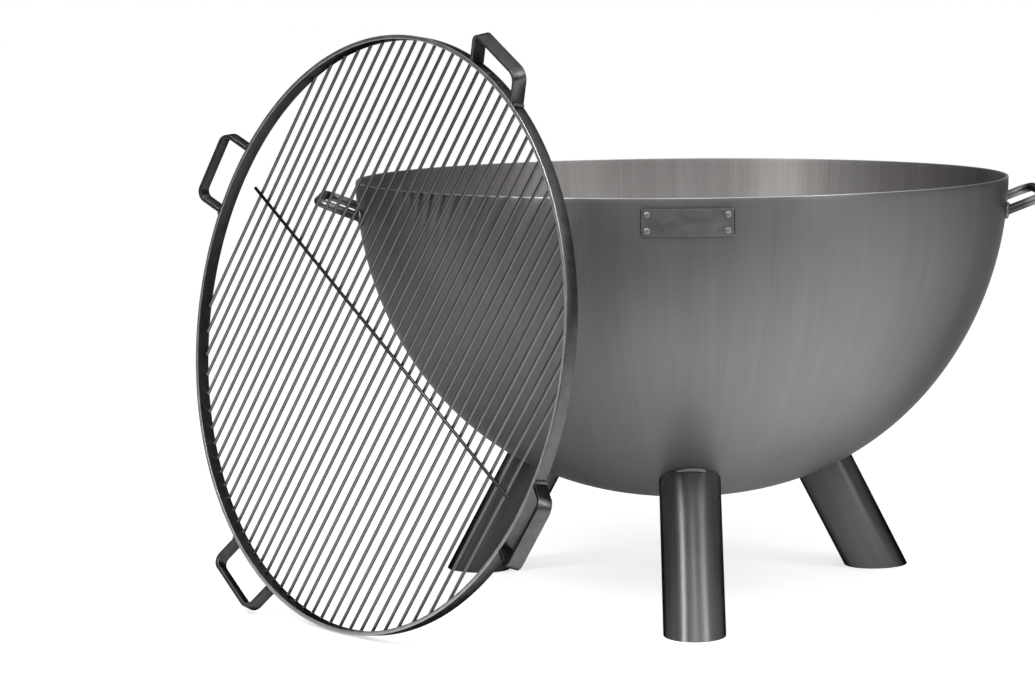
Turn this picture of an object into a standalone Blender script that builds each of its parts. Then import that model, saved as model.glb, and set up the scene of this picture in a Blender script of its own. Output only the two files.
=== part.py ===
"""Steel fire pit: a deep bowl on three splayed tube legs, and a round grill grate that leans on its rim.

Sizes are in metres, with +Z up. The feet stand on z = 0, and the middle of the whole assembly's
footprint is the origin. The bowl has its own frame around its axis, and the grate has one at the
centre of its ring, where X and Y lie in the grate and Z points to the side away from the bowl.
"""
import math

import bmesh
import bpy
from mathutils import Matrix, Vector

# Gap between pieces that touch
GAP = 0.0003

# Bowl: one spun sheet, nearly a hemisphere
RIM_RADIUS = 0.400
RIM_HEIGHT = 0.514
BOWL_DEPTH = 0.392
SHEET = 0.003
SIDE_FULLNESS = 2.27
BASE_FULLNESS = 1.91
BOWL_ROWS = 14
BOWL_SIDES = 64

# Legs: round tube, cut level at the floor and coped to the bowl
LEG_COUNT = 3
LEG_NAMES = ("front", "right", "left")
LEG_RADIUS = 0.0365
LEG_WALL = 0.003
LEG_SPLAY = math.radians(30.6)
FOOT_CIRCLE = 0.297
FIRST_LEG_TURN = math.radians(-87.8)
LEG_SIDES = 32
LEG_WELD_RADIUS = 0.0035
LEG_WELD_WIDTH = 0.030
WELD_SINK = 0.001
WELD_STEPS = 8
BEAD_START = math.radians(8.0)

# Handles of the bowl: round bar, rising outwards
HANDLE_NAMES = ("left", "right")
HANDLE_BAR = 0.0055
HANDLE_WIDTH = 0.147
HANDLE_REACH = 0.048
HANDLE_RISE = math.radians(21.0)
HANDLE_DROP = 0.039
HANDLE_BEND = 0.018
HANDLE_WELD = 0.003
LEFT_HANDLE_TURN = math.radians(182.2)
BEND_STEPS = 5

# Name plate: a bare thin plate, bent to the wall and held by four rivets
PLATE_WIDTH = 0.105
PLATE_HEIGHT = 0.033
PLATE_THICK = 0.0015
PLATE_CORNER = 0.004
PLATE_DROP = 0.0275
PLATE_TURN = math.radians(-89.3)
PLATE_SLICE = 0.006
RIVET_ACROSS = 0.090
RIVET_UP = 0.018
RIVET_HEAD = 0.004
RIVET_DOME = 0.002
RIVET_SHANK = 0.002
RIVET_TAIL = 0.0032
RIVET_TAIL_THICK = 0.0012
RIVET_SIDES = 10
DOME_STEPS = 3
RIVET_HOLE_CLEARANCE = 0.0004

# Grate: a flat bar ring with round bars flush with its top edge
GRATE_RADIUS = 0.350
RING_WIDTH = 0.0165
RING_THICK = 0.005
RING_SIDES = 96
BAR_COUNT = 36
BAR_RADIUS = 0.002
SIDE_SPACE = 0.0415
BAR_SIDES = 8
BAR_TURN = math.radians(59.0)
CROSSBAR_RADIUS = 0.002
CROSSBAR_OVERHANG = 0.009

# Handles of the grate: flat bar bent to a U, tilted away from the bars' side
GRIP_WIDTH = 0.095
GRIP_REACH = 0.043
GRIP_BAR_WIDTH = 0.0165
GRIP_THICK = 0.005
GRIP_BEND = 0.014
GRIP_TILT = math.radians(22.0)
GRIP_TURNS = tuple(math.radians(turn) for turn in (59.0, 151.0, 237.5, 329.0))
GRIP_WELD = 0.003

# How the grate leans: its turn about Z, its lean from upright and its place along the rim
GRATE_TURN = math.radians(47.6)
GRATE_LEAN = math.radians(8.35)
GRATE_SHIFT = -0.060

# Colour, roughness and metallic value of each finish
FINISHES = {
    "brushed_sheet_steel": ((0.130, 0.130, 0.132), 0.42, 1.0),
    "tube_steel": ((0.075, 0.075, 0.078), 0.36, 1.0),
    "hot_rolled_bar": ((0.055, 0.055, 0.057), 0.45, 1.0),
    "bright_round_bar": ((0.085, 0.085, 0.088), 0.40, 1.0),
    "plate_steel": ((0.110, 0.110, 0.112), 0.38, 1.0),
    "rivet_steel": ((0.300, 0.300, 0.305), 0.35, 1.0),
    "weld_metal": ((0.190, 0.190, 0.190), 0.50, 1.0),
}


def clear_scene():
    for obj in list(bpy.data.objects):
        bpy.data.objects.remove(obj, do_unlink=True)


def new_collection(name):
    collection = bpy.data.collections.new(name)
    bpy.context.scene.collection.children.link(collection)
    return collection


def make_finishes():
    finishes = {}
    for name, (colour, roughness, metallic) in FINISHES.items():
        material = bpy.data.materials.new(name)
        material.use_nodes = True
        shader = material.node_tree.nodes["Principled BSDF"]
        shader.inputs["Base Color"].default_value = (*colour, 1.0)
        shader.inputs["Roughness"].default_value = roughness
        shader.inputs["Metallic"].default_value = metallic
        material.diffuse_color = (*colour, 1.0)
        finishes[name] = material
    return finishes


clear_scene()
PARTS = new_collection("fire_pit_with_grate")
CUTTERS = new_collection("cutters")
STEEL = make_finishes()


def new_frame(name, parent=None):
    """An empty that carries the pieces of one frame."""
    frame = bpy.data.objects.new(name, None)
    frame.empty_display_size = 0.05
    PARTS.objects.link(frame)
    frame.parent = parent
    return frame


def add_piece(name, mesh, finish, parent, matrix=None):
    piece = bpy.data.objects.new(name, mesh)
    PARTS.objects.link(piece)
    piece.parent = parent
    piece.matrix_basis = matrix if matrix is not None else Matrix.Identity(4)
    mesh.materials.clear()
    mesh.materials.append(STEEL[finish])
    return piece


def add_cutter(name, mesh, parent, matrix=None):
    cutter = bpy.data.objects.new(name, mesh)
    CUTTERS.objects.link(cutter)
    cutter.parent = parent
    cutter.matrix_basis = matrix if matrix is not None else Matrix.Identity(4)
    cutter.hide_render = True
    cutter.display_type = "WIRE"
    return cutter


def combine(piece, other, operation="DIFFERENCE"):
    boolean = piece.modifiers.new(other.name, "BOOLEAN")
    boolean.operation = operation
    boolean.solver = "EXACT"
    boolean.object = other


def turn_profile(piece, sides):
    """Turns the piece's profile, which runs down its outer side, about Z."""
    screw = piece.modifiers.new("turned", "SCREW")
    screw.axis = "Z"
    screw.steps = sides
    screw.render_steps = sides
    screw.use_merge_vertices = True
    screw.merge_threshold = 0.00002


def thicken(piece, thickness, offset):
    solid = piece.modifiers.new("sheet", "SOLIDIFY")
    solid.thickness = thickness
    solid.offset = offset
    solid.use_even_offset = True
    solid.use_rim = True


def smooth(mesh):
    mesh.shade_smooth()
    mesh.set_sharp_from_angle(angle=math.radians(35))


def mesh_from(bm, name):
    mesh = bpy.data.meshes.new(name)
    bm.to_mesh(mesh)
    bm.free()
    smooth(mesh)
    return mesh


def profile_mesh(name, points, closed=False):
    """A line of (radius, height) points in the XZ plane."""
    mesh = bpy.data.meshes.new(name)
    edges = [(i, i + 1) for i in range(len(points) - 1)]
    if closed:
        edges.append((len(points) - 1, 0))
    mesh.from_pydata([(radius, 0.0, height) for radius, height in points], edges, [])
    return mesh


def rod_mesh(name, radius, low, high, sides, capped=True):
    """A round rod or an open tube wall along Z, from low to high."""
    bm = bmesh.new()
    bmesh.ops.create_cone(bm, cap_ends=capped, segments=sides, radius1=radius, radius2=radius, depth=high - low)
    bmesh.ops.translate(bm, verts=bm.verts, vec=(0, 0, (low + high) / 2))
    return mesh_from(bm, name)


def box_mesh(name, size, centre=(0, 0, 0), corner=0.0, axis=2):
    """A box whose edges along one axis are rounded with the corner radius."""
    bm = bmesh.new()
    bmesh.ops.create_cube(bm, size=1.0)
    bmesh.ops.scale(bm, verts=bm.verts, vec=size)
    if corner > 0:
        along = [e for e in bm.edges if abs((e.verts[0].co - e.verts[1].co)[axis]) > 0.5 * size[axis]]
        bmesh.ops.bevel(bm, geom=along, offset=corner, segments=4, profile=0.5, affect="EDGES")
    bmesh.ops.translate(bm, verts=bm.verts, vec=centre)
    return mesh_from(bm, name)


def bar_along(name, points, radius, resolution=2):
    """A round bar along a line of points, as a closed mesh."""
    curve = bpy.data.curves.new(name, "CURVE")
    curve.dimensions = "3D"
    curve.bevel_depth = radius
    curve.bevel_resolution = resolution
    curve.use_fill_caps = True
    spline = curve.splines.new("POLY")
    spline.points.add(len(points) - 1)
    for spot, point in zip(spline.points, points):
        spot.co = (*point, 1.0)
    guide = bpy.data.objects.new(name, curve)
    CUTTERS.objects.link(guide)
    mesh = bpy.data.meshes.new_from_object(guide.evaluated_get(bpy.context.evaluated_depsgraph_get()))
    bpy.data.objects.remove(guide, do_unlink=True)
    bm = bmesh.new()
    bm.from_mesh(mesh)
    bmesh.ops.remove_doubles(bm, verts=bm.verts, dist=0.00005)
    bmesh.ops.recalc_face_normals(bm, faces=bm.faces)
    return mesh_from(bm, name)


def joined_copies(name, mesh, matrices):
    """One mesh that holds a separate copy of the given one at each matrix."""
    bm = bmesh.new()
    for matrix in matrices:
        copy = mesh.copy()
        copy.transform(matrix)
        bm.from_mesh(copy)
        bpy.data.meshes.remove(copy)
    return mesh_from(bm, name)


# The bowl's outer surface: (r / R) ** side fullness + (drop / depth) ** base fullness = 1


def bowl_profile(grow=0.0, first=0.0, last=math.pi / 2):
    """Points of the bowl's outer line from the rim to the base, moved outwards by grow."""
    points = []
    for row in range(BOWL_ROWS + 1):
        angle = first + (last - first) * row / BOWL_ROWS
        radius = RIM_RADIUS * max(math.cos(angle), 0.0) ** (2 / SIDE_FULLNESS)
        drop = BOWL_DEPTH * math.sin(angle) ** (2 / BASE_FULLNESS)
        if row == BOWL_ROWS and last == math.pi / 2:
            radius = 0.0
        out = wall_normal(radius, drop)
        points.append((max(radius + grow * out[0], 0.0), RIM_HEIGHT - drop + grow * out[1]))
    return points


def wall_normal(radius, drop):
    """Outward direction (radial, up) of the wall where it has this radius and this drop below the rim."""
    outward = SIDE_FULLNESS / RIM_RADIUS * (radius / RIM_RADIUS) ** (SIDE_FULLNESS - 1)
    down = BASE_FULLNESS / BOWL_DEPTH * (drop / BOWL_DEPTH) ** (BASE_FULLNESS - 1)
    length = math.hypot(outward, down)
    return outward / length, -down / length


def wall_radius(drop):
    """Outer radius of the bowl at a drop below its rim."""
    return RIM_RADIUS * (1 - (drop / BOWL_DEPTH) ** BASE_FULLNESS) ** (1 / SIDE_FULLNESS)


def facet_sag(drop):
    """How far the bowl's flat facets lie inside its true round wall at a drop below the rim."""
    height = RIM_HEIGHT - drop
    rows = bowl_profile()
    for (upper, top), (lower, bottom) in zip(rows, rows[1:]):
        if bottom <= height <= top:
            chord = upper + (lower - upper) * (top - height) / (top - bottom)
            return wall_radius(drop) - chord * math.cos(math.pi / BOWL_SIDES)
    return 0.0


def in_bowl(point):
    """Below zero inside the bowl's outer surface, above zero outside it."""
    radius = math.hypot(point.x, point.y)
    drop = max(RIM_HEIGHT - point.z, 0.0)
    return (radius / RIM_RADIUS) ** SIDE_FULLNESS + (drop / BOWL_DEPTH) ** BASE_FULLNESS - 1


def wall_frame(turn, drop):
    """Matrix of a spot on the outer wall: Z points out of the wall and X runs level along it."""
    radius = wall_radius(drop)
    out_radial, out_up = wall_normal(radius, drop)
    radial = Vector((math.cos(turn), math.sin(turn), 0.0))
    along = Vector((-math.sin(turn), math.cos(turn), 0.0))
    out = radial * out_radial + Vector((0, 0, out_up))
    up = out.cross(along)
    matrix = Matrix((along, up, out)).transposed().to_4x4()
    matrix.translation = radial * radius + Vector((0, 0, RIM_HEIGHT - drop))
    return matrix


def leg_frame(turn):
    """Matrix of a leg: its origin is the foot's middle on the floor, and Z runs up the tube."""
    foot = Vector((FOOT_CIRCLE * math.cos(turn), FOOT_CIRCLE * math.sin(turn), 0.0))
    return Matrix.Translation(foot) @ Matrix.Rotation(turn, 4, "Z") @ Matrix.Rotation(-LEG_SPLAY, 4, "Y")


def seam_point(leg, radius, angle):
    """Where a line on the leg's wall, at this angle round the tube, meets the bowl."""
    low, high = 0.0, RIM_HEIGHT - BOWL_DEPTH / 2
    for _ in range(40):
        middle = (low + high) / 2
        point = Vector((radius * math.cos(angle), radius * math.sin(angle), middle))
        if in_bowl(leg @ point) > 0:
            low = middle
        else:
            high = middle
    return Vector((radius * math.cos(angle), radius * math.sin(angle), low))


def rounded_path(corners, radius, steps):
    """The corner points of an open line, with each inner corner turned into an arc."""
    path = [Vector(corners[0])]
    for before, corner, after in zip(corners, corners[1:], corners[2:]):
        corner = Vector(corner)
        back = (Vector(before) - corner).normalized()
        ahead = (Vector(after) - corner).normalized()
        half = back.angle(ahead) / 2
        middle = corner + (back + ahead).normalized() * radius / math.sin(half)
        start = corner + back * radius / math.tan(half) - middle
        end = corner + ahead * radius / math.tan(half) - middle
        path.append(middle + start)
        for step in range(1, steps):
            path.append(middle + start.slerp(end, step / steps).normalized() * radius)
        path.append(middle + end)
    path.append(Vector(corners[-1]))
    return path


def build_bowl(pit, bowl_cutter, rivet_holes):
    bowl = add_piece("bowl", profile_mesh("bowl", bowl_profile()), "brushed_sheet_steel", pit)
    turn_profile(bowl, BOWL_SIDES)
    thicken(bowl, SHEET, -1)
    combine(bowl, rivet_holes)
    return bowl


def make_bowl_cutter(pit):
    """The space inside the bowl's outer surface, with the gap, up to above its rim."""
    top = RIM_HEIGHT + RIM_RADIUS / 2
    wall = bowl_profile(GAP)
    points = [(0.0, top), (wall[0][0], top)] + wall
    cutter = add_cutter("bowl_space", profile_mesh("bowl_space", points), pit)
    turn_profile(cutter, BOWL_SIDES)
    return cutter


def build_legs(pit, bowl_cutter):
    below = RIM_HEIGHT / 2
    floor = add_cutter("floor_space", box_mesh("floor_space", (4, 4, below), (0, 0, -below / 2)), pit)
    reach = RIM_HEIGHT - BOWL_DEPTH / 2
    for count, name in enumerate(LEG_NAMES):
        leg = leg_frame(FIRST_LEG_TURN + count * 2 * math.pi / LEG_COUNT)
        tube = rod_mesh("leg_" + name, LEG_RADIUS, -LEG_RADIUS, reach, LEG_SIDES, capped=False)
        piece = add_piece("leg_" + name, tube, "tube_steel", pit, leg)
        thicken(piece, LEG_WALL, -1)
        combine(piece, bowl_cutter)
        combine(piece, floor)
        build_leg_weld(name, pit, leg, bowl_cutter)


def build_leg_weld(name, pit, leg, bowl_cutter):
    """A bead in the corner between the tube's outer side and the bowl."""
    half = LEG_WELD_WIDTH / LEG_RADIUS / 2
    radius = LEG_RADIUS + WELD_SINK
    path = []
    for step in range(WELD_STEPS + 1):
        angle = half * (2 * step / WELD_STEPS - 1)
        path.append(seam_point(leg, radius, angle) - Vector((0, 0, WELD_SINK)))
    bead = bar_along("leg_weld_" + name, path, LEG_WELD_RADIUS)
    piece = add_piece("leg_weld_" + name, bead, "weld_metal", pit, leg)
    core = rod_mesh("leg_space_" + name, LEG_RADIUS + GAP, 0.0, RIM_HEIGHT, LEG_SIDES)
    combine(piece, add_cutter("leg_space_" + name, core, pit, leg))
    combine(piece, bowl_cutter)


def build_bowl_handles(pit, bowl_cutter):
    """Two U-shaped bars whose arms are welded to the wall, with the bead round each arm."""
    root = wall_radius(HANDLE_DROP)
    rise = math.tan(HANDLE_RISE)
    half = HANDLE_WIDTH / 2
    level = RIM_HEIGHT - HANDLE_DROP
    inside = -2 * HANDLE_BAR
    reach = HANDLE_REACH * math.cos(HANDLE_RISE)
    corners = [(root + out, side, level + out * rise) for out, side in
               ((inside, half), (reach, half), (reach, -half), (inside, -half))]
    path = rounded_path(corners, HANDLE_BEND, BEND_STEPS)
    bead = torus_mesh("bead", HANDLE_BAR + WELD_SINK, HANDLE_WELD)
    along_arm = Matrix.Rotation(math.pi / 2 - HANDLE_RISE, 4, "Y") @ Matrix.Rotation(BEAD_START, 4, "Z")
    out = math.sqrt(root ** 2 - half ** 2) - root
    spots = [Matrix.Translation((root + out, side, level + out * rise)) @ along_arm for side in (half, -half)]
    for count, name in enumerate(HANDLE_NAMES):
        turn = Matrix.Rotation(LEFT_HANDLE_TURN + count * math.pi, 4, "Z")
        name = "bowl_handle_" + name
        handle = add_piece(name, bar_along(name, path, HANDLE_BAR, 3), "bright_round_bar", pit, turn)
        beads = joined_copies(name + "_beads", bead, spots)
        combine(handle, add_cutter(name + "_beads", beads, pit, turn), "UNION")
        combine(handle, bowl_cutter)


def torus_mesh(name, ring_radius, bead_radius):
    bpy.ops.mesh.primitive_torus_add(
        major_segments=2 * WELD_STEPS, minor_segments=6, major_radius=ring_radius, minor_radius=bead_radius
    )
    ring = bpy.context.object
    mesh = ring.data.copy()
    mesh.name = name
    bpy.data.objects.remove(ring, do_unlink=True)
    return mesh


def rivet_frames():
    """Matrices of the four rivets, on the wall's outer face."""
    frames = []
    for across in (-0.5, 0.5):
        for up in (-0.5, 0.5):
            drop = PLATE_DROP - up * RIVET_UP
            turn = PLATE_TURN + 2 * math.asin(across * RIVET_ACROSS / 2 / wall_radius(drop))
            frames.append(wall_frame(turn, drop))
    return frames


def make_rivet_holes(pit):
    reach = 4 * SHEET
    hole = rod_mesh("rivet_hole", RIVET_SHANK + RIVET_HOLE_CLEARANCE, -reach, reach, RIVET_SIDES)
    return add_cutter("rivet_holes", joined_copies("rivet_holes", hole, rivet_frames()), pit)


def build_plate(pit, rivet_holes):
    """A slice of a thin shell round the bowl, trimmed to a rectangle with round corners."""
    tall = PLATE_HEIGHT / 2 + PLATE_SLICE
    rows = []
    for step in range(3):
        drop = max(PLATE_DROP + tall * (step - 1), 0.0)
        radius = wall_radius(drop)
        out = wall_normal(radius, drop)
        rows.append((radius + GAP * out[0], RIM_HEIGHT - drop + GAP * out[1]))
    plate = add_piece("name_plate", profile_mesh("name_plate", rows), "plate_steel", pit)
    turn_profile(plate, BOWL_SIDES)
    thicken(plate, PLATE_THICK, 1)
    size = (PLATE_WIDTH, PLATE_HEIGHT, RIM_RADIUS / 4)
    outline = box_mesh("plate_outline", size, corner=PLATE_CORNER)
    combine(plate, add_cutter("plate_outline", outline, pit, wall_frame(PLATE_TURN, PLATE_DROP)), "INTERSECT")
    combine(plate, rivet_holes)


def build_rivets(pit):
    """Four rivets through the plate and the wall."""
    seat = PLATE_THICK + 2 * GAP
    tilt = 2 * RIVET_TAIL * math.tan(math.pi / BOWL_SIDES)
    tail = -SHEET - GAP - facet_sag(PLATE_DROP + RIVET_UP / 2) - tilt
    points = []
    for step in range(DOME_STEPS + 1):
        angle = math.pi / 2 * step / DOME_STEPS
        points.append((RIVET_HEAD * math.sin(angle), seat + RIVET_DOME * math.cos(angle)))
    points += [(RIVET_SHANK, seat), (RIVET_SHANK, tail), (RIVET_TAIL, tail)]
    points += [(RIVET_TAIL, tail - RIVET_TAIL_THICK), (0.0, tail - RIVET_TAIL_THICK)]
    for count, matrix in enumerate(rivet_frames()):
        name = f"plate_rivet_{count + 1}"
        rivet = add_piece(name, profile_mesh(name, points), "rivet_steel", pit, matrix)
        turn_profile(rivet, RIVET_SIDES)


def grate_matrix():
    """The grate's frame: the ring stands on the floor and its bars' side rests on the rim."""
    height = GRATE_RADIUS * math.cos(GRATE_LEAN) + RING_WIDTH / 2 * math.sin(GRATE_LEAN)
    rim = RIM_RADIUS * math.cos(GRATE_LEAN) + RIM_HEIGHT * math.sin(GRATE_LEAN)
    out = (rim + RING_WIDTH / 2 + GAP - height * math.sin(GRATE_LEAN)) / math.cos(GRATE_LEAN)
    away = Vector((-math.sin(GRATE_TURN), -math.cos(GRATE_TURN), 0.0))
    along = Vector((math.cos(GRATE_TURN), -math.sin(GRATE_TURN), 0.0))
    centre = away * out + along * GRATE_SHIFT + Vector((0, 0, height))
    upright = Matrix.Rotation(math.pi / 2 - GRATE_LEAN, 4, "X")
    return Matrix.Translation(centre) @ Matrix.Rotation(-GRATE_TURN, 4, "Z") @ upright


def build_ring(grate):
    half = RING_WIDTH / 2
    inner = GRATE_RADIUS - RING_THICK
    points = [(inner, half), (GRATE_RADIUS, half), (GRATE_RADIUS, -half), (inner, -half)]
    ring = add_piece("grate_ring", profile_mesh("grate_ring", points, closed=True), "hot_rolled_bar", grate)
    turn_profile(ring, RING_SIDES)


def bar_offsets():
    """How far each bar is from the middle of the ring."""
    last = GRATE_RADIUS - RING_THICK - SIDE_SPACE - BAR_RADIUS
    return [last * (2 * count / (BAR_COUNT - 1) - 1) for count in range(BAR_COUNT)]


def bar_level():
    """Height of the bars' axes in the grate's frame: their top sides are flush with the ring's edge."""
    return -RING_WIDTH / 2 + BAR_RADIUS


def build_bars(grate):
    """Parallel bars whose ends are coped to the inside of the ring."""
    inner = GRATE_RADIUS - RING_THICK - GAP
    for count, across in enumerate(bar_offsets()):
        name = f"grate_bar_{count + 1:02d}"
        bm = bmesh.new()
        bmesh.ops.create_cone(
            bm, cap_ends=True, segments=BAR_SIDES, radius1=BAR_RADIUS, radius2=BAR_RADIUS, depth=1.0
        )
        bmesh.ops.rotate(bm, verts=bm.verts, matrix=Matrix.Rotation(math.pi / 2, 3, "Y"))
        for vert in bm.verts:
            end = math.sqrt(inner ** 2 - (across + vert.co.y) ** 2)
            vert.co.x = math.copysign(end, vert.co.x)
        turn = Matrix.Rotation(BAR_TURN, 4, "Z") @ Matrix.Translation((0, across, bar_level()))
        add_piece(name, mesh_from(bm, name), "bright_round_bar", grate, turn)


def build_crossbar(grate):
    """One bar under all the others, square to them."""
    reach = bar_offsets()[-1] + BAR_RADIUS + CROSSBAR_OVERHANG
    level = bar_level() + BAR_RADIUS + GAP + CROSSBAR_RADIUS
    rod = rod_mesh("grate_crossbar", CROSSBAR_RADIUS, -reach, reach, BAR_SIDES)
    turn = Matrix.Rotation(BAR_TURN, 4, "Z") @ Matrix.Translation((0, 0, level))
    add_piece("grate_crossbar", rod, "bright_round_bar", grate, turn @ Matrix.Rotation(math.pi / 2, 4, "X"))


def grip_mesh(name):
    """A flat bar bent to a U: X points away from the ring, Y along the grip, Z across the bar."""
    outline = []
    for inset in (0.0, GRIP_THICK):
        half = GRIP_WIDTH / 2 - inset
        reach = GRIP_REACH - inset
        root = -2 * RING_THICK
        corners = [(root, half, 0), (reach, half, 0), (reach, -half, 0), (root, -half, 0)]
        side = rounded_path(corners, GRIP_BEND - inset, BEND_STEPS)
        outline += side if inset == 0 else side[::-1]
    bm = bmesh.new()
    face = bm.faces.new([bm.verts.new(point - Vector((0, 0, GRIP_BAR_WIDTH / 2))) for point in outline])
    pushed = bmesh.ops.extrude_face_region(bm, geom=[face])
    moved = [item for item in pushed["geom"] if isinstance(item, bmesh.types.BMVert)]
    bmesh.ops.translate(bm, verts=moved, vec=(0, 0, GRIP_BAR_WIDTH))
    bmesh.ops.recalc_face_normals(bm, faces=bm.faces)
    return mesh_from(bm, name)


def grip_frame(turn):
    """Matrix of a grip: its origin is where the middle of its chord meets the ring."""
    chord = math.sqrt(GRATE_RADIUS ** 2 - (GRIP_WIDTH / 2) ** 2)
    place = Matrix.Rotation(turn, 4, "Z") @ Matrix.Translation((chord, 0, 0))
    return place @ Matrix.Rotation(-GRIP_TILT, 4, "Y")


def build_grips(grate):
    """Four flat bar handles welded to the ring, with the bead on the outer side of each arm."""
    core = rod_mesh("ring_space", GRATE_RADIUS + GAP, -GRIP_REACH, GRIP_REACH, RING_SIDES)
    ring_space = add_cutter("ring_space", core, grate)
    arm = GRIP_WIDTH / 2 + WELD_SINK
    long = GRIP_BAR_WIDTH / 2 - GRIP_WELD / 2
    bead = rod_mesh("bead", GRIP_WELD, -long, long, WELD_STEPS)
    spots = [Matrix.Translation((0, side, 0)) for side in (arm, -arm)]
    for count, turn in enumerate(GRIP_TURNS):
        name = f"grate_handle_{count + 1}"
        frame = grip_frame(turn)
        grip = add_piece(name, grip_mesh(name), "hot_rolled_bar", grate, frame)
        beads = joined_copies(name + "_beads", bead, spots)
        combine(grip, add_cutter(name + "_beads", beads, grate, frame), "UNION")
        combine(grip, ring_space)


def centre_on_floor(origin):
    """Moves the whole model so that the middle of its footprint is the world's origin."""
    bpy.context.view_layer.update()
    corners = []
    depsgraph = bpy.context.evaluated_depsgraph_get()
    for piece in PARTS.objects:
        if piece.type == "MESH":
            seen = piece.evaluated_get(depsgraph)
            corners += [seen.matrix_world @ vert.co for vert in seen.data.vertices]
    for axis in (0, 1):
        low = min(corner[axis] for corner in corners)
        high = max(corner[axis] for corner in corners)
        origin.location[axis] = -(low + high) / 2
    bpy.context.view_layer.update()


def build():
    origin = new_frame("fire_pit_origin")
    pit = new_frame("bowl_frame", origin)
    grate = new_frame("grate_frame", origin)
    grate.matrix_basis = grate_matrix()
    bowl_cutter = make_bowl_cutter(pit)
    rivet_holes = make_rivet_holes(pit)
    build_bowl(pit, bowl_cutter, rivet_holes)
    build_legs(pit, bowl_cutter)
    build_bowl_handles(pit, bowl_cutter)
    build_plate(pit, rivet_holes)
    build_rivets(pit)
    build_ring(grate)
    build_bars(grate)
    build_crossbar(grate)
    build_grips(grate)
    centre_on_floor(origin)
    print("bowl axis", tuple(round(v, 5) for v in pit.matrix_world.translation))
    print("grate centre", tuple(round(v, 5) for v in grate.matrix_world.translation))


build()
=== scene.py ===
"""Looks of a fire pit with a grill grate: a spun bowl on three legs and a round grate against its rim."""

import math

import bmesh
import bpy
from mathutils import Matrix, Vector


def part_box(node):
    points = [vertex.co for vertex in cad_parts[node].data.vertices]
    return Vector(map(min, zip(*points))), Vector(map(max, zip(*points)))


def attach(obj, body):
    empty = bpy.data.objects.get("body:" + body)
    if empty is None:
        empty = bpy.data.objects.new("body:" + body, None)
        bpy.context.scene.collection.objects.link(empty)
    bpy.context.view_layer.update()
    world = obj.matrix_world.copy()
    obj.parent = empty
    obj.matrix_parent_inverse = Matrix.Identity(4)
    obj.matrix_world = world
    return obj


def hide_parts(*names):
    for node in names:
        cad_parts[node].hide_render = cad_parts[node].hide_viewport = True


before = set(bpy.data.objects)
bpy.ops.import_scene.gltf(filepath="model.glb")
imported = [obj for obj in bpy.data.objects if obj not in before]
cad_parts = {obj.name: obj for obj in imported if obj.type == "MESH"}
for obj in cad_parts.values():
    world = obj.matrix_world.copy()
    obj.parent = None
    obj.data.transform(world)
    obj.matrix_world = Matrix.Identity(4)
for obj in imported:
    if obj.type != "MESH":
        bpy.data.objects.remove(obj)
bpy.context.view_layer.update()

MM = 0.001
GAP = 0.3 * MM
SHARP = math.radians(50)
SAME_POINT = 0.02 * MM
HALVINGS = 40

# Photograph and camera, whose place is from the foot of the bowl's axis, in metres
PHOTO_WIDTH = 1035
FOCAL_PIXELS = 3194
SENSOR = 36.0
CAMERA_PLACE = (-0.0294, -3.9395, 0.7527)
CAMERA_PAN = math.radians(-2.528)
CAMERA_PITCH = math.radians(6.553)
CAMERA_ROLL = math.radians(-0.668)

# Bowl: (radius / rim radius) ** side fullness + (drop / depth) ** base fullness = 1
RIM_RADIUS = 400 * MM
RIM_HEIGHT = 514 * MM
BOWL_DEPTH = 392 * MM
SHEET = 3 * MM
SIDE_FULLNESS = 2.27
BASE_FULLNESS = 1.91
BOWL_SIDES = 192
BOWL_ROWS = 72
RIM_ROUNDING = 1.2 * MM
RIM_FACE = RIM_HEIGHT - 0.9 * RIM_ROUNDING

# What in_bowl gives is below this on the inner face
INNER_FACE = -0.01

# Legs
LEG_NAMES = ("front", "right", "left")
LEG_RADIUS = 36.5 * MM
LEG_WALL = 3 * MM
LEG_SPLAY = math.radians(30.6)
LEG_REACH = 200 * MM
FOOT_CIRCLE = 297 * MM
FIRST_LEG_TURN = math.radians(-87.8)
LEG_SIDES = 96
CUT_EDGE = 0.5 * MM
LEG_WELD_WIDTH = 32 * MM
LEG_WELD_RADIUS = 3.4 * MM
LEG_WELD_OUT = 0.6 * MM
LEG_WELD_DROP = 1.2 * MM
LEG_WELD_STEPS = 12

# How much painted shade darkens each leg's own length of tube: the rear legs stand further back and under the
# bowl
LEG_PAINTED_SHADE = {"front": 0.0, "right": 0.6, "left": 0.6}

# Handles of the bowl
HANDLE_NAMES = ("left", "right")
HANDLE_BAR = 5.5 * MM
HANDLE_WIDTH = 147 * MM
HANDLE_REACH = 48 * MM
HANDLE_RISE = math.radians(21.0)
HANDLE_DROP = 39 * MM
HANDLE_BEND = 18 * MM
HANDLE_SIDES = 32
HANDLE_WELD = 2.8 * MM
HANDLE_WELD_AROUND = 1.0 * MM
HANDLE_WELD_OUT = 0.8 * MM
HANDLE_WELD_STEPS = 48
LEFT_HANDLE_TURN = math.radians(182.2)

# Painted shade at the root of an arm, near the wall: over 1, so that almost half of the arm is fully darkened
HANDLE_PAINTED_SHADE = 1.8

# Name plate and its rivets
PLATE_WIDTH = 105 * MM
PLATE_HEIGHT = 33 * MM
PLATE_THICK = 1.5 * MM
PLATE_CORNER = 4 * MM
PLATE_EDGE = 0.4 * MM
# Width of the painted shadow along the plate's edges
PLATE_SHADOW_BAND = 1.6 * MM
PLATE_DROP = 27.5 * MM
PLATE_TURN = math.radians(-89.3)
PLATE_STEPS = 12
CORNER_STEPS = 8
RIVET_ACROSS = 90 * MM
RIVET_UP = 18 * MM
RIVET_HEAD = 4 * MM
RIVET_DOME = 2 * MM
RIVET_SHANK = 2 * MM
RIVET_TAIL = 3.2 * MM
RIVET_TAIL_THICK = 1.2 * MM
RIVET_STEP = 0.05 * MM
RIVET_FLAT = 0.8
RIVET_ROWS = 8
RIVET_SIDES = 32

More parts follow.
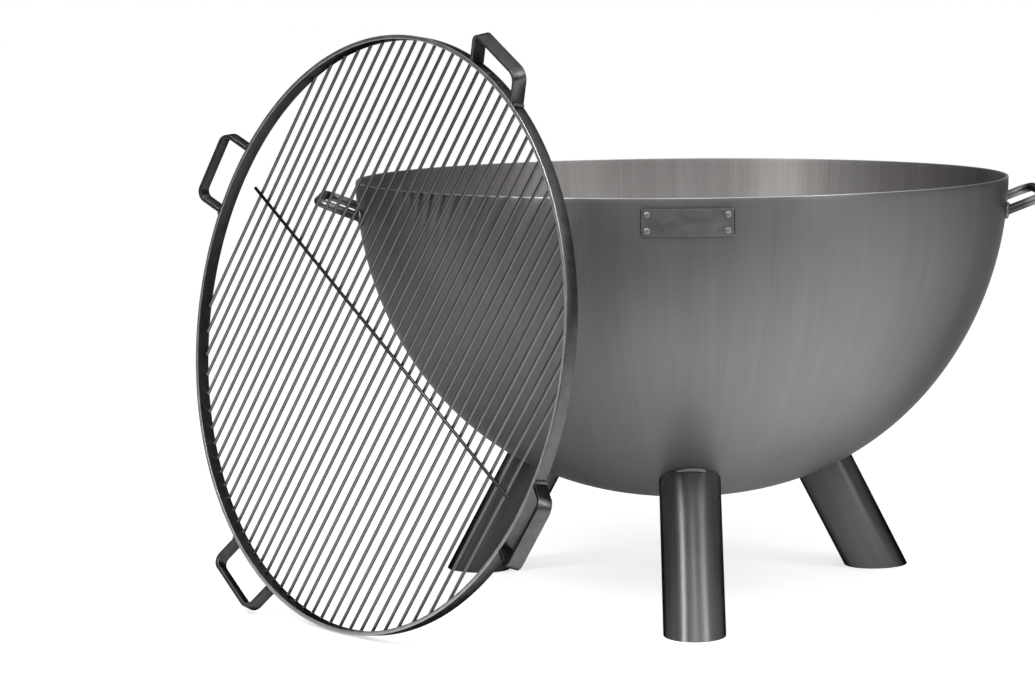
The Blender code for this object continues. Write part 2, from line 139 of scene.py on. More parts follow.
# Grate
GRATE_RADIUS = 350 * MM
RING_WIDTH = 16.5 * MM
RING_THICK = 5 * MM
RING_SIDES = 256
# Band of the ring's narrow faces that is lighter: partly wear, partly a painted highlight
RING_WEAR_AND_HIGHLIGHT = 0.2 * MM
BAR_EDGE = 0.7 * MM
BAR_COUNT = 36
BAR_RADIUS = 2 * MM
BAR_SIDES = 16
SIDE_SPACE = 41.5 * MM
BAR_TURN = math.radians(59.0)
CROSSBAR_RADIUS = 2 * MM
CROSSBAR_OVERHANG = 9 * MM
CROSSBAR_EDGE = 0.4 * MM
TACK_RADIUS = 1.9 * MM
TACK_HEIGHT = 0.8 * TACK_RADIUS
TACK_LEVEL = 0.6 * BAR_RADIUS
TACK_ROWS = 3
TACK_SIDES = 10
SMALLEST_TACK = 0.75
GRIP_WIDTH = 95 * MM
GRIP_REACH = 43 * MM
GRIP_BEND = 14 * MM
GRIP_TILT = math.radians(22.0)
GRIP_TURNS = tuple(math.radians(turn) for turn in (59.0, 151.0, 237.5, 329.0))
GRIP_WELD = 2.6 * MM
GRIP_WELD_SIDE = 0.6 * MM
GRIP_WELD_OUT = 0.8 * MM
GRIP_WELD_END = 1.5 * MM
GRIP_WELD_STEPS = 6
GRIP_CUT = 30 * MM
GRATE_TURN = math.radians(47.6)
GRATE_LEAN = math.radians(8.35)
GRATE_SHIFT = -60 * MM
BEND_STEPS = 12
LAST_BAR = GRATE_RADIUS - RING_THICK - SIDE_SPACE - BAR_RADIUS
BAR_LEVEL = BAR_RADIUS - RING_WIDTH / 2

low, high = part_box("bowl")
BOWL_AXIS = Matrix.Translation(((low.x + high.x) / 2, (low.y + high.y) / 2, 0))


# Small tools for nodes

MATH = "ShaderNodeMath"
VECTOR_MATH = "ShaderNodeVectorMath"
MAP_RANGE = "ShaderNodeMapRange"
MIX = "ShaderNodeMix"
COLOURS = {"data_type": "RGBA"}
SMOOTH = {"interpolation_type": "SMOOTHSTEP"}


def linear(hex_colour):
    """Linear RGBA of an sRGB hex colour."""
    parts = [int(hex_colour[i:i + 2], 16) / 255 for i in (1, 3, 5)]
    return (*[part / 12.92 if part <= 0.04045 else ((part + 0.055) / 1.055) ** 2.4 for part in parts], 1.0)


def feed(node, inputs):
    """Sets inputs by name, or by place from a list, to plain values, outputs or nodes' first outputs."""
    for name, value in inputs.items() if isinstance(inputs, dict) else enumerate(inputs):
        if isinstance(value, bpy.types.Node):
            value = value.outputs[0]
        if isinstance(value, bpy.types.NodeSocket):
            node.id_data.links.new(value, node.inputs[name])
        else:
            node.inputs[name].default_value = value


def add(tree, kind, settings={}, inputs={}):
    """Adds a node with its settings, or with just the name of its operation, and its inputs."""
    node = tree.nodes.new(kind)
    if isinstance(settings, str):
        settings = {"operation": settings}
    for name, value in settings.items():
        setattr(node, name, value)
    feed(node, inputs)
    return node


def put(name, data):
    """A new object in the scene with this mesh, lamp or camera."""
    thing = bpy.data.objects.new(name, data)
    bpy.context.scene.collection.objects.link(thing)
    return thing


def shape_tree(name, sizes):
    """An empty shape tree with a named input for each size, and the outputs that give them."""
    kinds = {int: "NodeSocketInt", float: "NodeSocketFloat", bpy.types.Object: "NodeSocketObject",
             bpy.types.Material: "NodeSocketMaterial"}
    tree = bpy.data.node_groups.new(name, "GeometryNodeTree")
    tree.interface.new_socket("Geometry", in_out="INPUT", socket_type="NodeSocketGeometry")
    for label, value in sizes.items():
        tree.interface.new_socket(label, in_out="INPUT", socket_type=kinds[type(value)])
    tree.interface.new_socket("Geometry", in_out="OUTPUT", socket_type="NodeSocketGeometry")
    return tree, tree.nodes.new("NodeGroupInput").outputs


def close_tree(tree, geometry, finish):
    """Ends a shape tree in real geometry with its finish."""
    real = add(tree, "GeometryNodeRealizeInstances", {}, {"Geometry": geometry})
    finished = add(tree, "GeometryNodeSetMaterial", {}, {"Geometry": real, "Material": finish})
    add(tree, "NodeGroupOutput", {}, [finished])


def plain_mesh(holder, finishing=()):
    """The mesh that an object's modifiers, with these further ones, make of it. The object is removed."""
    for kind, settings in finishing:
        modifier = holder.modifiers.new(kind.lower(), kind)
        for name, value in settings.items():
            setattr(modifier, name, value)
    mesh = bpy.data.meshes.new_from_object(holder.evaluated_get(bpy.context.evaluated_depsgraph_get()))
    bpy.data.objects.remove(holder)
    return mesh


def shape_from(tree, sizes, start=None, finishing=()):
    """The plain mesh that a shape tree, and the modifiers after it, make from a start mesh."""
    holder = put(tree.name, start or bpy.data.meshes.new(tree.name))
    nodes = holder.modifiers.new(tree.name, "NODES")
    nodes.node_group = tree
    for socket in tree.interface.items_tree:
        if socket.in_out == "INPUT" and socket.name in sizes:
            nodes[socket.identifier] = sizes[socket.name]
    return plain_mesh(holder, finishing)


# Finishes

BUMP = "ShaderNodeBump"
NOISE_LOW, NOISE_HIGH = 0.25, 0.75
ROUND_THE_PIECE = {"direction_type": "UV_MAP", "uv_map": "wrap"}
INSIDE_DULLER = 0.14
OUTSIDE_SPREAD = 0.6
INSIDE_SPREAD = 0.8


def steel(name, colour, roughness, edge):
    """A bare steel: its material, tree, shader and the piece's own coordinates, which follow its shape.

    The typical colour and roughness are set here, and the patterns of each finish then vary both.
    """
    material = bpy.data.materials.new(name)
    material.use_nodes = True
    tree = material.node_tree
    shader = tree.nodes["Principled BSDF"]
    feed(shader, {"Base Color": linear(colour), "Metallic": 1.0, "Roughness": roughness,
                  "Specular Tint": linear(edge)})
    place = add(tree, "ShaderNodeAttribute", {"attribute_name": "place"}).outputs["Vector"]
    return material, tree, shader, place


def grain(tree, place, sizes, detail=2.0):
    """Noise whose marks have these sizes in millimetres along the piece's own axes."""
    scale = [1 / (size * MM) for size in sizes]
    spaced = add(tree, "ShaderNodeMapping", {}, {"Vector": place, "Scale": scale})
    return add(tree, "ShaderNodeTexNoise", {}, {"Vector": spaced, "Scale": 1.0, "Detail": detail})


def shade(tree, dark, light, *marks):
    """Colour between dark and light by a weighted sum of marks."""
    total = 0.5
    for mark, weight in marks:
        centred = add(tree, MATH, "SUBTRACT", [mark, 0.5])
        total = add(tree, MATH, "MULTIPLY_ADD", [centred, weight, total])
    return add(tree, MIX, COLOURS, {0: total, 6: linear(dark), 7: linear(light)}).outputs[2]


def cover(tree, base, name, over):
    """Colour that goes from base to over, as the piece's points are marked from 0 to 1 under this name."""
    share = add(tree, "ShaderNodeAttribute", {"attribute_name": name}).outputs["Fac"]
    return add(tree, MIX, COLOURS, {0: share, 6: base, 7: over}).outputs[2]


def spun_sheet_finish():
    """Cold-rolled sheet, spun and ground from rim to base: satin grey with upright grain and streaks."""
    material, tree, shader, place = steel("spun_and_ground_sheet_steel", "#636363", 0.42, "#9A9A9A")
    level = add(tree, VECTOR_MATH, "MULTIPLY", [place, (1, 1, 0)])
    outward = add(tree, VECTOR_MATH, "NORMALIZE", [level])
    round_wall = add(tree, VECTOR_MATH, "SCALE", {0: outward, "Scale": RIM_RADIUS})
    wall = add(tree, VECTOR_MATH, "MULTIPLY_ADD", [place, (0, 0, 1), round_wall])
    # The real grain is about 0.3 mm wide: it is drawn 2 mm wide, so that it shows
    fine = grain(tree, wall, (2, 2, 90), 3.0)
    streaks = grain(tree, wall, (14, 14, 420))
    clouds = grain(tree, place, (130, 130, 130))
    outside = shade(tree, "#656565", "#848483", (fine, 0.35), (streaks, 0.3), (clouds, 0.5))
    inside = shade(tree, "#8C8887", "#B5B3B1", (fine, 0.6), (streaks, 0.5), (clouds, 0.8))
    both = cover(tree, outside, "inside", inside)
    inner = add(tree, "ShaderNodeAttribute", {"attribute_name": "inside"}).outputs["Fac"]
    rough = add(tree, MAP_RANGE, {}, [clouds, NOISE_LOW, NOISE_HIGH, 0.42, 0.48])
    feed(shader, {
        "Base Color": cover(tree, both, "cut_edge", linear("#B8B8B8")),
        "Roughness": add(tree, MATH, "MULTIPLY_ADD", [inner, INSIDE_DULLER, rough]),
        "Anisotropic": add(tree, MAP_RANGE, {}, [inner, 0.0, 1.0, OUTSIDE_SPREAD, INSIDE_SPREAD]),
        "Tangent": add(tree, "ShaderNodeTangent", ROUND_THE_PIECE),
        "Normal": add(tree, BUMP, {}, {"Height": fine, "Distance": 0.05 * MM, "Strength": 0.35})})
    return material


def tube_finish():
    """Welded steel tube from the mill, oiled: dark satin with faint lines along it, darker at its edges.
    Marked legs get a painted shade.
    """
    material, tree, shader, place = steel("oiled_mill_tube_steel", "#606060", 0.3, "#101010")
    lines = grain(tree, place, (2, 2, 160), 3.0)
    streaks = grain(tree, place, (9, 9, 300))
    clouds = grain(tree, place, (40, 40, 60))
    oiled = shade(tree, "#646466", "#868688", (lines, 0.5), (streaks, 0.6), (clouds, 0.6))
    # A quarter turn draws the gloss out along the tube
    feed(shader, {
        # Painted shade: the legs marked for it are mixed towards dark grey
        "Base Color": cover(tree, oiled, "scaled", linear("#3C3C3D")),
        "Roughness": add(tree, MAP_RANGE, {}, [clouds, NOISE_LOW, NOISE_HIGH, 0.37, 0.45]),
        "Anisotropic": 0.9,
        "Anisotropic Rotation": 0.25,
        "Tangent": add(tree, "ShaderNodeTangent", ROUND_THE_PIECE),
        "Normal": add(tree, BUMP, {}, {"Height": lines, "Distance": 0.03 * MM, "Strength": 0.15})})
    return material


def flat_bar_finish():
    """Hot-rolled flat bar with mill scale: dark, cloudy grey. The ring's narrow faces are lighter, partly as
    rubbed wear and partly as a painted highlight.
    """
    material, tree, shader, place = steel("hot_rolled_bar_with_mill_scale", "#4A4A4B", 0.45, "#484848")
    scale = grain(tree, place, (12, 12, 12), 4.0)
    specks = grain(tree, place, (1.6, 1.6, 1.6), 2.0)
    face = shade(tree, "#49494A", "#6C6C6D", (scale, 0.9), (specks, 0.6))
    # The lighter colour of the narrow faces is partly rubbed wear, partly a painted highlight
    rubbed = shade(tree, "#9C9C9C", "#C4C4C4", (scale, 0.9), (specks, 0.6))
    feed(shader, {
        "Base Color": cover(tree, face, "rubbed", rubbed),
        "Roughness": add(tree, MAP_RANGE, {}, [scale, NOISE_LOW, NOISE_HIGH, 0.29, 0.37]),
        "Normal": add(tree, BUMP, {}, {"Height": specks, "Distance": 0.08 * MM, "Strength": 0.3})})
    return material


def round_bar_finish():
    """Drawn round bar: smooth grey with thin lines along it. The crossbar and the arms near their welds are
    darkened by painted shade.
    """
    material, tree, shader, place = steel("drawn_round_bar_steel", "#5A5A5B", 0.34, "#303030")
    lines = grain(tree, place, (90, 1.2, 1.2), 2.0)
    clouds = grain(tree, place, (60, 12, 12), 3.0)
    drawn = shade(tree, "#646465", "#8C8C8D", (lines, 0.6), (clouds, 0.8))
    feed(shader, {
        # Painted shade: the marked crossbar and arm roots are mixed towards dark grey
        "Base Color": cover(tree, drawn, "scaled", linear("#464647")),
        "Roughness": add(tree, MAP_RANGE, {}, [clouds, NOISE_LOW, NOISE_HIGH, 0.28, 0.38]),
        "Normal": add(tree, BUMP, {}, {"Height": lines, "Distance": 0.03 * MM, "Strength": 0.3})})
    return material


def plate_finish():
    """Small plate cut from sheet and brushed along its length: satin, with thin level lines and a painted
    shadow along its edges.
    """
    material, tree, shader, place = steel("brushed_plate_steel", "#626262", 0.36, "#808080")
    lines = grain(tree, place, (40, 0.9, 0.9), 3.0)
    clouds = grain(tree, place, (22, 14, 14), 3.0)
    face = shade(tree, "#6C6C6C", "#909090", (lines, 0.8), (clouds, 0.8))
    spot = add(tree, "ShaderNodeSeparateXYZ", {}, [add(tree, VECTOR_MATH, "ABSOLUTE", [place])])
    # Painted shadow: darker along the plate's edges, most at its ends
    painted_edge_shadow = 0.0
    for axis, half, most in (("X", PLATE_WIDTH / 2, 1.0), ("Y", PLATE_HEIGHT / 2, 0.7)):
        start, end = half - PLATE_SHADOW_BAND, half - PLATE_EDGE
        near = add(tree, MAP_RANGE, SMOOTH, [spot.outputs[axis], start, end, 0.0, most])
        painted_edge_shadow = add(tree, MATH, "MAXIMUM", [painted_edge_shadow, near])
    feed(shader, {
        "Base Color": add(tree, MIX, COLOURS, {0: painted_edge_shadow, 6: face, 7: linear("#3C3C3C")}).outputs[2],
        "Roughness": add(tree, MAP_RANGE, {}, [clouds, NOISE_LOW, NOISE_HIGH, 0.4, 0.5]),
        "Normal": add(tree, BUMP, {}, {"Height": lines, "Distance": 0.03 * MM, "Strength": 0.3})})
    return material


def rivet_finish():
    """Pressed steel rivet, zinc bright: pale grey and fairly smooth, with dull spots."""
    material, tree, shader, place = steel("pressed_rivet_steel", "#9A9A9A", 0.32, "#808080")
    spots = grain(tree, place, (1.5, 1.5, 1.5), 3.0)
    feed(shader, {
        "Base Color": shade(tree, "#787878", "#9C9C9C", (spots, 1.2)),
        "Roughness": add(tree, MAP_RANGE, {}, [spots, NOISE_LOW, NOISE_HIGH, 0.46, 0.6])})
    return material


def weld_finish():
    """Fused weld metal, wire-brushed: bright grey with dull brown-grey spots."""
    material, tree, shader, place = steel("brushed_weld_metal", "#808080", 0.4, "#606060")
    spots = grain(tree, place, (2.2, 2.2, 2.2), 4.0)
    feed(shader, {
        "Base Color": shade(tree, "#454340", "#8E8E8E", (spots, 1.5)),
        "Roughness": add(tree, MAP_RANGE, {}, [spots, NOISE_LOW, NOISE_HIGH, 0.36, 0.54]),
        "Normal": add(tree, BUMP, {}, {"Height": spots, "Distance": 0.2 * MM, "Strength": 0.6})})
    return material


STEEL = {
    "brushed_sheet_steel": spun_sheet_finish(),
    "tube_steel": tube_finish(),
    "hot_rolled_bar": flat_bar_finish(),
    "bright_round_bar": round_bar_finish(),
    "plate_steel": plate_finish(),
    "rivet_steel": rivet_finish(),
    "weld_metal": weld_finish(),
}


# Shapes

def dress(name, mesh, matrix, slot, body, *nodes):
    """Puts a mesh where it belongs, with its finish, its body and the nodes that it stands for."""
    if "place" not in mesh.attributes:
        own = mesh.attributes.new("place", "FLOAT_VECTOR", "POINT")
        for spot, vert in zip(own.data, mesh.vertices):
            spot.vector = vert.co
    mesh.transform(matrix)
    mesh.materials.clear()
    mesh.materials.append(STEEL[slot])
    mesh.shade_smooth()
    mesh.set_sharp_from_angle(angle=SHARP)
    mesh.name = name
    piece = put(name, mesh)
    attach(piece, body)
    if nodes:
        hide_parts(*nodes)


def mark_points(mesh, name, rule):
    """Marks each point of a mesh with a number that a rule gives for its place, for a finish to read."""
    marks = mesh.attributes.new(name, "FLOAT", "POINT")
    for mark, vert in zip(marks.data, mesh.vertices):
        mark.value = rule(vert.co)


def skin(name, rings, closed, places=None):
    """Faces over a row of rings. A closed row joins its last ring to its first, and an open one is capped."""
    bm = bmesh.new()
    own = bm.verts.layers.float_vector.new("place")
    wrap = bm.loops.layers.uv.new("wrap")
    rows = []
    for number, ring in enumerate(rings):
        row = [bm.verts.new(point) for point in ring]
        for count, vert in enumerate(row):
            vert[own] = places[number][count] if places else vert.co
        rows.append(row)
    count = len(rows[0])
    for number, (before, after) in enumerate(zip(rows, rows[1:] + rows[:1] if closed else rows[1:])):
        for i in range(count):
            j = (i + 1) % count
            face = bm.faces.new((before[i], before[j], after[j], after[i]))
            for loop, step, row in zip(face.loops, (i, i + 1, i + 1, i), (0, 0, 1, 1)):
                loop[wrap].uv = (step / count, (number + row) / len(rows))
    if not closed:
        bm.faces.new(rows[0])
        bm.faces.new(rows[-1])
    bmesh.ops.recalc_face_normals(bm, faces=bm.faces)
    mesh = bpy.data.meshes.new(name)
    bm.to_mesh(mesh)
    bm.free()
    return mesh


def circle(radius, sides, height=0.0):
    """Points evenly round the Z axis."""
    turns = [2 * math.pi * step / sides for step in range(sides)]
    return [Vector((radius * math.cos(turn), radius * math.sin(turn), height)) for turn in turns]


def turned(name, profile, sides):
    """A closed profile of (radius, height) points turned once round the Z axis."""
    rings = zip(*[circle(radius, sides, height) for radius, height in profile])
    return skin(name, [list(ring) for ring in rings], closed=True)


def dome(name, profile, sides):
    """A closed solid turned from a line of (radius, height) points that starts and ends on its axis."""
    bm = bmesh.new()
    top = bm.verts.new((0, 0, profile[0][1]))
    bottom = bm.verts.new((0, 0, profile[-1][1]))
    rows = [[bm.verts.new(point) for point in circle(radius, sides, height)]
            for radius, height in profile[1:-1]]
    for i in range(sides):
        j = (i + 1) % sides
        bm.faces.new((top, rows[0][i], rows[0][j]))
        bm.faces.new((bottom, rows[-1][j], rows[-1][i]))
        for upper, lower in zip(rows, rows[1:]):
            bm.faces.new((upper[i], lower[i], lower[j], upper[j]))
    bmesh.ops.recalc_face_normals(bm, faces=bm.faces)
    mesh = bpy.data.meshes.new(name)
    bm.to_mesh(mesh)
    bm.free()
    return mesh


def cap(radius, height, steps, level=0.0):
    """A quarter of an ellipse, from the axis out to its radius, as (radius, height) points."""
    turns = [math.pi / 2 * step / steps for step in range(steps + 1)]
    return [(radius * math.sin(turn), level + height * math.cos(turn)) for turn in turns]


def round_box(width, height, corner, steps=3):
    """Outline points of a rectangle with round corners, centred on the origin."""
    points = []
    for quarter, (side, up) in enumerate(((1, 1), (-1, 1), (-1, -1), (1, -1))):
        for step in range(steps + 1):
            angle = math.pi / 2 * (quarter + step / steps)
            points.append((side * (width / 2 - corner) + corner * math.cos(angle),
                           up * (height / 2 - corner) + corner * math.sin(angle)))
    return points


def rounded_path(corners, radius):
    """The corner points of an open line, with each inner corner turned into an arc."""
    path = [Vector(corners[0])]
    for before, corner, after in zip(corners, corners[1:], corners[2:]):
        corner = Vector(corner)
        back = (Vector(before) - corner).normalized()
        ahead = (Vector(after) - corner).normalized()
        half = back.angle(ahead) / 2
        middle = corner + (back + ahead).normalized() * radius / math.sin(half)
        start = corner + back * radius / math.tan(half) - middle
        end = corner + ahead * radius / math.tan(half) - middle
        for step in range(BEND_STEPS + 1):
            path.append(middle + start.slerp(end, step / BEND_STEPS).normalized() * radius)
    path.append(Vector(corners[-1]))
    return path


def swept(name, path, section, flat, cope):
    """A bar with this section along a path in a plane square to flat. Its ends are cut back by cope."""
    rings, places, run = [], [], 0.0
    for number, point in enumerate(path):
        before, after = path[max(number - 1, 0)], path[min(number + 1, len(path) - 1)]
        ahead = (after - before).normalized()
        across = ahead.cross(flat)
        run += (point - before).length
        widen = 1 / math.cos((point - before).angle(after - point, 0.0) / 2)
        rings.append([point + across * side * widen + flat * up for side, up in section])
        places.append([(run, side, up) for side, up in section])
    for row, inner in ((0, 1), (-1, -2)):
        rings[row] = [cope(end, (end - near).normalized()) for end, near in zip(rings[row], rings[inner])]
    return skin(name, rings, closed=False, places=places)


def in_bowl(point):
    """Below zero inside the bowl's outer surface, above zero outside it."""
    radius = math.hypot(point.x, point.y)
    drop = max(RIM_HEIGHT - point.z, 0.0)
    return (radius / RIM_RADIUS) ** SIDE_FULLNESS + (drop / BOWL_DEPTH) ** BASE_FULLNESS - 1


def wall_radius(drop):
    """Radius of the bowl's outer surface at a drop below the rim."""
    return RIM_RADIUS * (1 - (drop / BOWL_DEPTH) ** BASE_FULLNESS) ** (1 / SIDE_FULLNESS)


def wall_normal(point):
    """Outward direction of the bowl's outer surface near a point."""
    radius = math.hypot(point.x, point.y)
    drop = max(RIM_HEIGHT - point.z, 0.0)
    side = SIDE_FULLNESS / RIM_RADIUS * (radius / RIM_RADIUS) ** (SIDE_FULLNESS - 1)
    down = BASE_FULLNESS / BOWL_DEPTH * (drop / BOWL_DEPTH) ** (BASE_FULLNESS - 1)
    return Vector((side * point.x / radius, side * point.y / radius, -down)).normalized()


def meet(point, direction, reach, outside):
    """The last spot of a line that is still outside a shape, found by halving a stretch round the point."""
    near, far = -reach, reach
    for _ in range(HALVINGS):
        middle = (near + far) / 2
        if outside(point + direction * middle):
            near = middle
        else:
            far = middle
    return point + direction * near


def meet_bowl(point, direction, reach=120 * MM):
    """Where a line that heads into the bowl meets its outer surface, with the fitting gap."""
    return meet(point, direction, reach, lambda spot: in_bowl(spot) > 0) - direction * GAP


def wall_frame(turn, drop):
    """Matrix of a spot on the outer wall: Z points out of the wall and X runs level along it."""
    spot = Vector((math.cos(turn), math.sin(turn), 0)) * wall_radius(drop) + Vector((0, 0, RIM_HEIGHT - drop))
    along = Vector((-math.sin(turn), math.cos(turn), 0))
    out = wall_normal(spot)
    matrix = Matrix((along, out.cross(along), out)).transposed().to_4x4()
    matrix.translation = spot
    return matrix


def leg_frame(turn):
    """Matrix of a leg: its origin is the foot's middle on the floor, and Z runs up the tube."""
    foot = Vector((FOOT_CIRCLE * math.cos(turn), FOOT_CIRCLE * math.sin(turn), 0))
    return Matrix.Translation(foot) @ Matrix.Rotation(turn, 4, "Z") @ Matrix.Rotation(-LEG_SPLAY, 4, "Y")


# Welds

BEAD_SIDES = 12
BEAD_STEP = 0.45 * MM
RIPPLE_PITCH = 1.9 * MM
RIPPLE_DEPTH = 0.22
LUMP_SCALE = 180.0
LUMP_DEPTH = 0.5
LEAST_SWELL = 0.55
END_BLUNTNESS = 6.0
END_WIDTH = 0.02


def weld_tree(sizes):
    """A weld bead along each line of the start mesh, with ripples and round ends."""
    tree, size = shape_tree("weld_bead", sizes)
    line = add(tree, "GeometryNodeMeshToCurve", {}, {"Mesh": size["Geometry"]})
    even = add(tree, "GeometryNodeResampleCurve", {"mode": "LENGTH"}, {"Curve": line, "Length": size["Step"]})
    along = add(tree, "GeometryNodeSplineParameter").outputs
    ripples = add(tree, MATH, "DIVIDE", [along["Length"], size["Ripple pitch"]])
    wave = add(tree, MATH, "SINE", [add(tree, MATH, "MULTIPLY", [ripples, math.pi])])
    lumps = add(tree, "ShaderNodeTexNoise", {"noise_dimensions": "4D"},
                {"W": size["Seed"], "Scale": LUMP_SCALE})
    body = add(tree, MATH, "MULTIPLY_ADD", [lumps, LUMP_DEPTH, LEAST_SWELL])
    swell = add(tree, MATH, "MULTIPLY_ADD", [add(tree, MATH, "ABSOLUTE", [wave]), size["Ripple depth"], body])
    centred = add(tree, MATH, "MULTIPLY_ADD", [along["Factor"], 2.0, -1.0])
    fall = add(tree, MATH, "POWER", [add(tree, MATH, "ABSOLUTE", [centred]), END_BLUNTNESS])
    rest = add(tree, MATH, "MAXIMUM", [add(tree, MATH, "SUBTRACT", [1 + END_WIDTH, fall]), END_WIDTH])
    tapered = add(tree, MATH, "MAXIMUM", [add(tree, MATH, "SQRT", [rest]), size["Ring"]])
    width = add(tree, MATH, "MULTIPLY", [swell, tapered])
    sized = add(tree, "GeometryNodeSetCurveRadius", {}, {"Curve": even, "Radius": width})
    outline = add(tree, "GeometryNodeCurvePrimitiveCircle", {},
                  {"Resolution": BEAD_SIDES, "Radius": size["Bead radius"]})
    bead = add(tree, "GeometryNodeCurveToMesh", {},
               {"Curve": sized, "Profile Curve": outline, "Fill Caps": True})
    close_tree(tree, bead, size["Finish"])
    return tree


def weld_beads(name, lines, radius, seed, ring, matrix, body, *nodes):
    """Beads along lines of points. A ring of weld goes round a bar and has no ends."""
    start = bpy.data.meshes.new(name)
    points, edges = [], []
    for line in lines:
        first = len(points)
        points += line
        edges += [(first + i, first + i + 1) for i in range(len(line) - 1)]
        if ring:
            edges.append((first + len(line) - 1, first))
    start.from_pydata(points, edges, [])
    sizes = {"Bead radius": radius, "Step": BEAD_STEP, "Ripple pitch": RIPPLE_PITCH,
             "Ripple depth": RIPPLE_DEPTH, "Seed": float(seed), "Ring": float(ring),
             "Finish": STEEL["weld_metal"]}
    dress(name, shape_from(weld_tree(sizes), sizes, start), matrix, "weld_metal", body, *nodes)


# Bowl

def bowl_tree(sizes):
    """Outer surface of the bowl: a grid of rows and sides laid on its rule."""
    tree, size = shape_tree("spun_bowl", sizes)
    grid = add(tree, "GeometryNodeMeshGrid", {}, {
        "Size X": 1.0, "Size Y": 1.0, "Vertices X": size["Rows"], "Vertices Y": size["Sides"]})
    spot = add(tree, "ShaderNodeSeparateXYZ", {}, [add(tree, "GeometryNodeInputPosition")]).outputs
    fall = add(tree, MATH, "MULTIPLY_ADD", [spot["X"], math.pi / 2, math.pi / 4])
    turn = add(tree, MATH, "MULTIPLY", [spot["Y"], 2 * math.pi])
    side_power = add(tree, MATH, "DIVIDE", [2.0, size["Side fullness"]])
    base_power = add(tree, MATH, "DIVIDE", [2.0, size["Base fullness"]])
    narrow = add(tree, MATH, "POWER", [add(tree, MATH, "COSINE", [fall]), side_power])
    lower = add(tree, MATH, "POWER", [add(tree, MATH, "SINE", [fall]), base_power])
    radius = add(tree, MATH, "MULTIPLY", [narrow, size["Rim radius"]])
    drop = add(tree, MATH, "MULTIPLY", [lower, size["Depth"]])
    wall = add(tree, "ShaderNodeCombineXYZ", {}, [
        add(tree, MATH, "MULTIPLY", [radius, add(tree, MATH, "COSINE", [turn])]),
        add(tree, MATH, "MULTIPLY", [radius, add(tree, MATH, "SINE", [turn])]),
        add(tree, MATH, "SUBTRACT", [size["Rim height"], drop])])
    laid = add(tree, "GeometryNodeSetPosition", {}, {"Geometry": grid, "Position": wall})
    wrapped = add(tree, "GeometryNodeStoreNamedAttribute", {"data_type": "FLOAT2", "domain": "CORNER"}, {
        "Geometry": laid, "Name": "wrap", "Value": grid.outputs["UV Map"]})
    joined = add(tree, "GeometryNodeMergeByDistance", {}, {"Geometry": wrapped, "Distance": SAME_POINT})
    close_tree(tree, joined, size["Finish"])
    return tree


def build_bowl():
    """One spun sheet with a rounded rim. Its inside and its cut edge are marked for its finish."""
    sizes = {"Rim radius": RIM_RADIUS, "Rim height": RIM_HEIGHT, "Depth": BOWL_DEPTH,
             "Side fullness": SIDE_FULLNESS, "Base fullness": BASE_FULLNESS, "Sides": BOWL_SIDES + 1,
             "Rows": BOWL_ROWS + 1, "Finish": STEEL["brushed_sheet_steel"]}
    finishing = (("SOLIDIFY", {"thickness": SHEET, "offset": -1, "use_even_offset": True}),
                 ("BEVEL", {"width": RIM_ROUNDING, "segments": 3, "angle_limit": SHARP}))
    mesh = shape_from(bowl_tree(sizes), sizes, finishing=finishing)
    mark_points(mesh, "inside", lambda spot: float(in_bowl(spot) < INNER_FACE))
    mark_points(mesh, "cut_edge", lambda spot: float(spot.z > RIM_FACE))
    dress("spun_bowl", mesh, BOWL_AXIS, "brushed_sheet_steel", "pit", "bowl")


# Legs

def tube_mesh(name, leg):
    """A tube cut level at the floor and coped to the bowl, with broken edges."""
    inner = LEG_RADIUS - LEG_WALL
    section = [(LEG_RADIUS, "foot", CUT_EDGE), (LEG_RADIUS, "bowl", CUT_EDGE),
               (LEG_RADIUS - CUT_EDGE, "bowl", 0), (inner + CUT_EDGE, "bowl", 0),
               (inner, "bowl", CUT_EDGE), (inner, "foot", CUT_EDGE),
               (inner + CUT_EDGE, "foot", 0), (LEG_RADIUS - CUT_EDGE, "foot", 0)]
    up = Vector((0, 0, 1))
    climb = leg.to_3x3() @ up
    rings = []
    for radius, end, inset in section:
        ring = []
        for side in circle(radius, LEG_SIDES):
            if end == "foot":
                ring.append(side + up * (inset - (leg @ side).z / climb.z))
            else:
                start = leg @ (side + up * LEG_REACH)
                ring.append(leg.inverted() @ meet_bowl(start, climb, LEG_REACH) - up * inset)
        rings.append(ring)
    return skin(name, rings, closed=True)


def build_legs():
    """Three tubes under the bowl, each with a bead in its outer corner."""
    half = LEG_WELD_WIDTH / LEG_RADIUS / 2
    radius = LEG_RADIUS + LEG_WELD_OUT
    lines = []
    for count, name in enumerate(LEG_NAMES):
        leg = leg_frame(FIRST_LEG_TURN + count * 2 * math.pi / len(LEG_NAMES))
        tube = tube_mesh("leg_tube_" + name, leg)
        # The rear legs are marked for painted shade, the front leg is not
        mark_points(tube, "scaled", lambda spot: LEG_PAINTED_SHADE[name])
        dress("leg_tube_" + name, tube, BOWL_AXIS @ leg, "tube_steel", "pit", "leg_" + name)
        up = leg.to_3x3() @ Vector((0, 0, 1))
        line = []
        for step in range(2 * LEG_WELD_STEPS + 1):
            angle = half * (step / LEG_WELD_STEPS - 1)
            side = Vector((radius * math.cos(angle), radius * math.sin(angle), LEG_REACH))
            line.append(meet_bowl(leg @ side, up, LEG_REACH) - up * LEG_WELD_DROP)
        lines.append(line)
    weld_beads("leg_weld_beads", lines, LEG_WELD_RADIUS, 3, False, BOWL_AXIS, "pit",
               *["leg_weld_" + name for name in LEG_NAMES])


# Handles of the bowl

